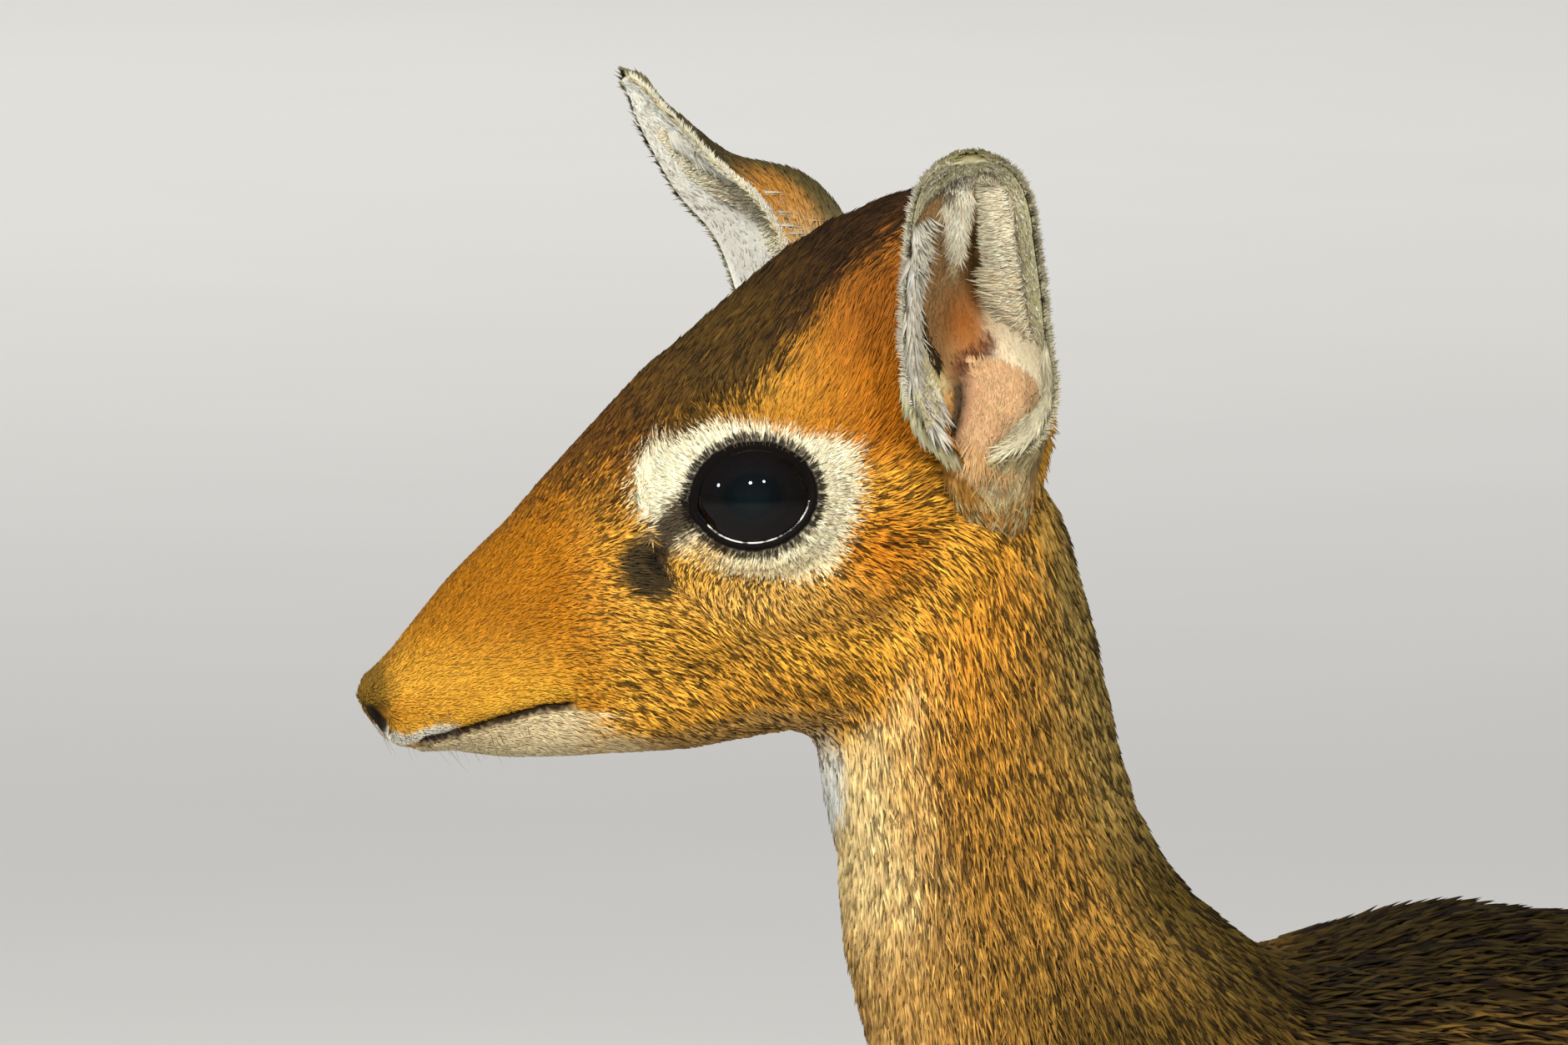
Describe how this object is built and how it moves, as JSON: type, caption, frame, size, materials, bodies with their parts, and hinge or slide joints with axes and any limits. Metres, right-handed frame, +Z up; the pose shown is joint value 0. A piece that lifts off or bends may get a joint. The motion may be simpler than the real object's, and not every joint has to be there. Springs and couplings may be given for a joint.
{
  "type": "female dik-dik",
  "caption": "Life-size still model of a small hornless antelope standing alert, with its head turned and its ears pricked.",
  "frame": {"origin": "on the floor under the middle of the bounding box", "axes": "-X forward, the way the body faces; -Y to the animal's left side, which the picture shows; +Z up"},
  "size_m": [0.5, 0.1186, 0.5458],
  "materials": {
    "face_coat": "short smooth hair, orange on the muzzle, tan on the cheek, grizzled brown on the crown",
    "body_coat": "short grizzled tan and grey-brown hair, pale below",
    "ear": "thin skin, grey hair outside and cream hair inside",
    "eye": "wet dark eye",
    "horn": "dark hoof horn with fine ridges"
  },
  "bodies": {
    "root": {"dewclaw_fore_left_inner": "horn", "dewclaw_fore_left_outer": "horn", "dewclaw_fore_right_inner": "horn", "dewclaw_fore_right_outer": "horn", "dewclaw_hind_left_inner": "horn", "dewclaw_hind_left_outer": "horn", "dewclaw_hind_right_inner": "horn", "dewclaw_hind_right_outer": "horn", "ear_left": "ear", "ear_right": "ear", "eye_left": "eye", "eye_right": "eye", "foreleg_lower_left": "body_coat", "foreleg_lower_right": "body_coat", "foreleg_upper_left": "body_coat", "foreleg_upper_right": "body_coat", "head": "face_coat", "hindleg_lower_left": "body_coat", "hindleg_lower_right": "body_coat", "hindleg_upper_left": "body_coat", "hindleg_upper_right": "body_coat", "hoof_fore_left_inner": "horn", "hoof_fore_left_outer": "horn", "hoof_fore_right_inner": "horn", "hoof_fore_right_outer": "horn", "hoof_hind_left_inner": "horn", "hoof_hind_left_outer": "horn", "hoof_hind_right_inner": "horn", "hoof_hind_right_outer": "horn", "lower_jaw": "face_coat", "neck": "body_coat", "tail": "body_coat", "torso": "body_coat"}
  },
  "joints": []
}
